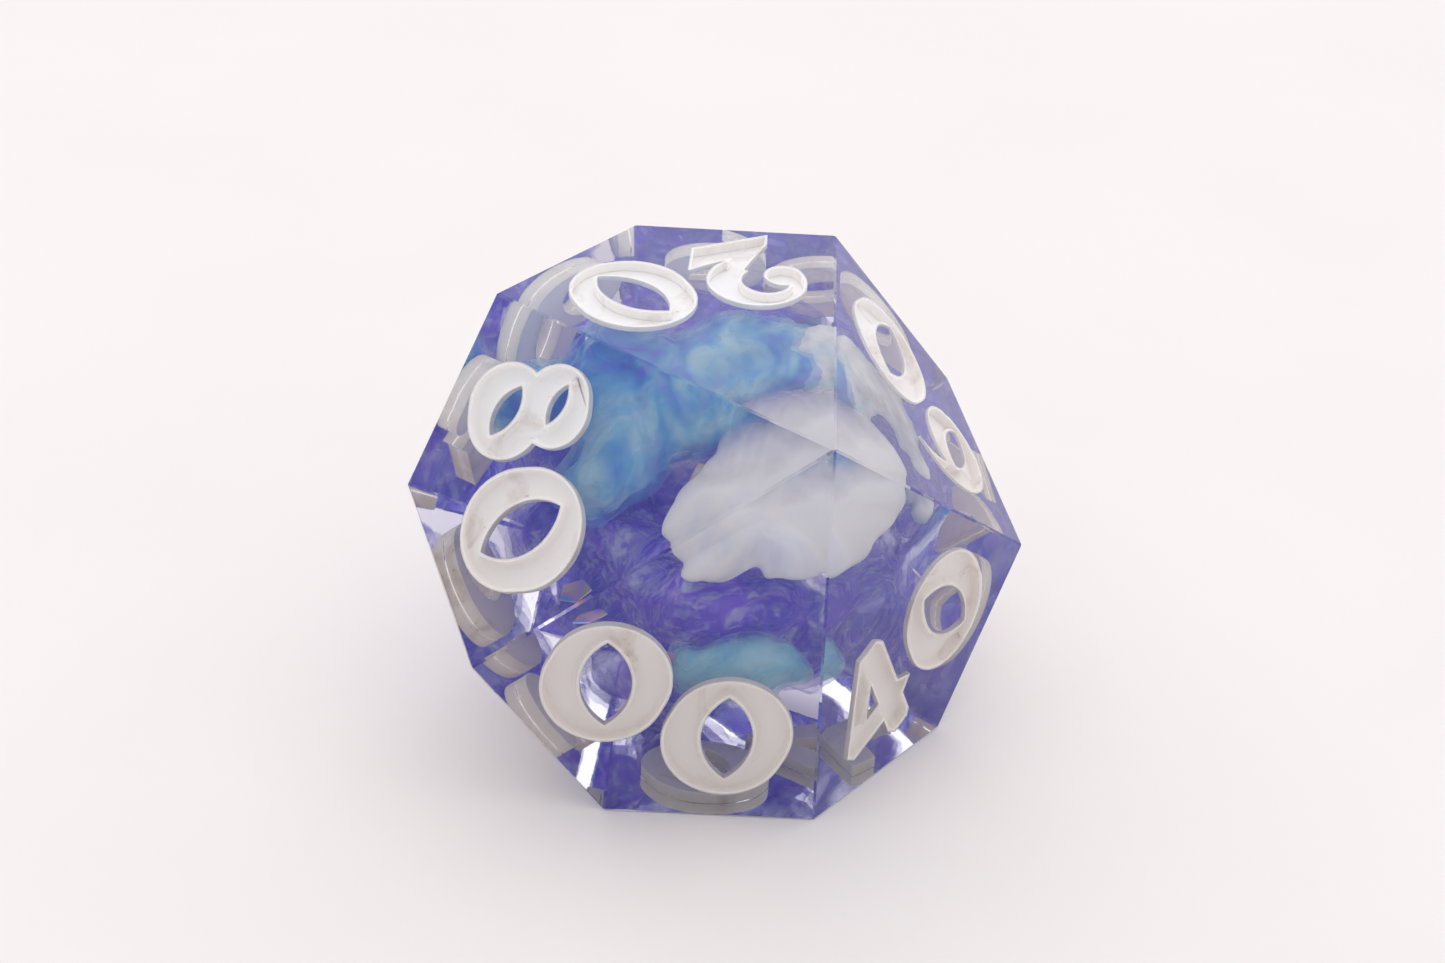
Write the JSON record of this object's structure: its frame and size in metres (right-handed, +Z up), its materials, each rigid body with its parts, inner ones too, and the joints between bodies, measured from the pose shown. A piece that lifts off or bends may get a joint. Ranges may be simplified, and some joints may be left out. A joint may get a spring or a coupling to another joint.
{
  "type": "percentile die",
  "caption": "Ten-sided percentile die of clear cast resin with engraved, inked tens numbers and clouds of white and blue pigment inside.",
  "frame": {"origin": "on the table, straight below the centre of the die as it lies on its 70 face (centre of the bottom of its box)", "axes": "+Z up, out of the level 20 face; -Y towards the tip where the 20, 80, 00, 40 and 60 faces meet; +X completes the right-handed frame"},
  "size_m": [0.023, 0.0186, 0.016],
  "materials": {
    "resin": "clear cast epoxy resin, faintly periwinkle, polished",
    "ink": "matte off-white ink with faint brown wear marks",
    "white_pigment": "opaque white pigment set in resin",
    "cyan_pigment": "cloudy cyan resin tint",
    "teal_pigment": "cloudy teal resin tint",
    "violet_pigment": "cloudy violet resin tint",
    "indigo_pigment": "cloudy indigo resin tint",
    "film": "iridescent film"
  },
  "bodies": {
    "root": {"resin_body": "resin", "number_20": "ink", "number_80": "ink", "number_00": "ink", "number_40": "ink", "number_60": "ink", "number_70": "ink", "number_10": "ink", "number_90": "ink", "number_50": "ink", "number_30": "ink", "white_bloom": "white_pigment", "cyan_cloud": "cyan_pigment", "teal_cloud": "teal_pigment", "violet_cloud": "violet_pigment", "indigo_cloud": "indigo_pigment", "film_flakes": "film"}
  },
  "joints": []
}
